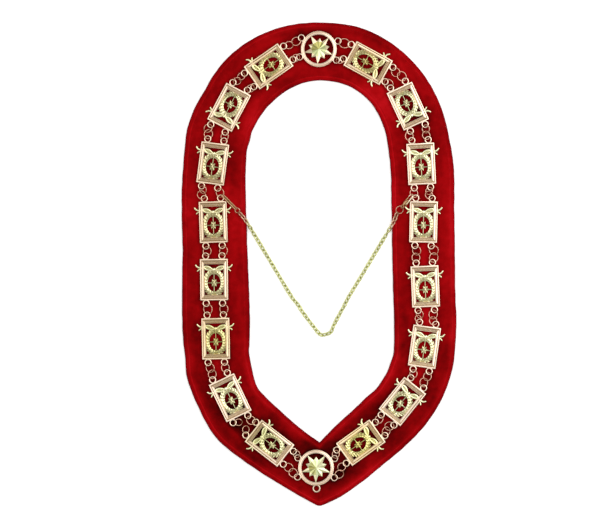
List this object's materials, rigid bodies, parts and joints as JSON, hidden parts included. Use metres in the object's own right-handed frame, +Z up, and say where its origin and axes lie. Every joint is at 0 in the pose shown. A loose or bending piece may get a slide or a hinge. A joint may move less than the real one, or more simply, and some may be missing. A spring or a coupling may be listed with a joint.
{
  "type": "chain of office",
  "caption": "Chain of office laid flat: openwork gilt plaques and star medallions joined by double rows of rings on a padded red velvet collar, with a safety chain and sprung clasp.",
  "frame": {"origin": "under the middle of the collar's outline, on the surface that it lies on", "axes": "+Z up out of that surface, +Y from the collar's pointed front to its round nape, +X to the right seen from above"},
  "size_m": [0.2889, 0.5098, 0.0115],
  "materials": {
    "red_velvet": "deep red velvet with a soft sheen and stitched edges",
    "cast_gold": "polished pale gold plating with darker toned recesses",
    "ring_gold": "bright drawn wire, pale gold plated",
    "chain_gold": "bright gold plated small links"
  },
  "bodies": {
    "collar": {"clasp_body": "chain_gold", "medallion_bottom": "cast_gold", "medallion_top": "cast_gold", "plaque_left_1": "cast_gold", "plaque_left_2": "cast_gold", "plaque_left_3": "cast_gold", "plaque_left_4": "cast_gold", "plaque_left_5": "cast_gold", "plaque_left_6": "cast_gold", "plaque_left_7": "cast_gold", "plaque_left_8": "cast_gold", "plaque_right_1": "cast_gold", "plaque_right_2": "cast_gold", "plaque_right_3": "cast_gold", "plaque_right_4": "cast_gold", "plaque_right_5": "cast_gold", "plaque_right_6": "cast_gold", "plaque_right_7": "cast_gold", "plaque_right_8": "cast_gold", "rings_medallion_bottom_inner": "ring_gold", "rings_medallion_bottom_outer": "ring_gold", "rings_medallion_top_inner": "ring_gold", "rings_medallion_top_outer": "ring_gold", "rings_plaque_left_1_inner": "ring_gold", "rings_plaque_left_1_outer": "ring_gold", "rings_plaque_left_2_inner": "ring_gold", "rings_plaque_left_2_outer": "ring_gold", "rings_plaque_left_3_inner": "ring_gold", "rings_plaque_left_3_outer": "ring_gold", "rings_plaque_left_4_inner": "ring_gold", "rings_plaque_left_4_outer": "ring_gold", "rings_plaque_left_5_inner": "ring_gold", "rings_plaque_left_5_outer": "ring_gold", "rings_plaque_left_6_inner": "ring_gold", "rings_plaque_left_6_outer": "ring_gold", "rings_plaque_left_7_inner": "ring_gold", "rings_plaque_left_7_outer": "ring_gold", "rings_plaque_left_7_outer_loose": "ring_gold", "rings_plaque_left_8_inner": "ring_gold", "rings_plaque_left_8_outer": "ring_gold", "rings_plaque_right_1_inner": "ring_gold", "rings_plaque_right_1_outer": "ring_gold", "rings_plaque_right_2_inner": "ring_gold", "rings_plaque_right_2_outer": "ring_gold", "rings_plaque_right_3_inner": "ring_gold", "rings_plaque_right_3_outer": "ring_gold", "rings_plaque_right_4_inner": "ring_gold", "rings_plaque_right_4_outer": "ring_gold", "rings_plaque_right_5_inner": "ring_gold", "rings_plaque_right_5_outer": "ring_gold", "rings_plaque_right_6_inner": "ring_gold", "rings_plaque_right_6_outer": "ring_gold", "rings_plaque_right_7_inner": "ring_gold", "rings_plaque_right_7_outer": "ring_gold", "rings_plaque_right_8_inner": "ring_gold", "rings_plaque_right_8_outer": "ring_gold", "safety_chain": "chain_gold", "teardrop_link": "chain_gold", "velvet_collar": "red_velvet"},
    "lever": {"clasp_lever": "chain_gold"}
  },
  "joints": [
    {"name": "clasp_lever_pivot", "type": "hinge", "parent": "collar", "child": "lever", "pos_m": [0.09033, 0.06505, 0.00696], "axis": [0.6437, -0.4236, -0.6373], "range_deg": [0, 25], "stiffness_Nm_per_rad": 0.002, "springref_deg": -11.46}
  ]
}
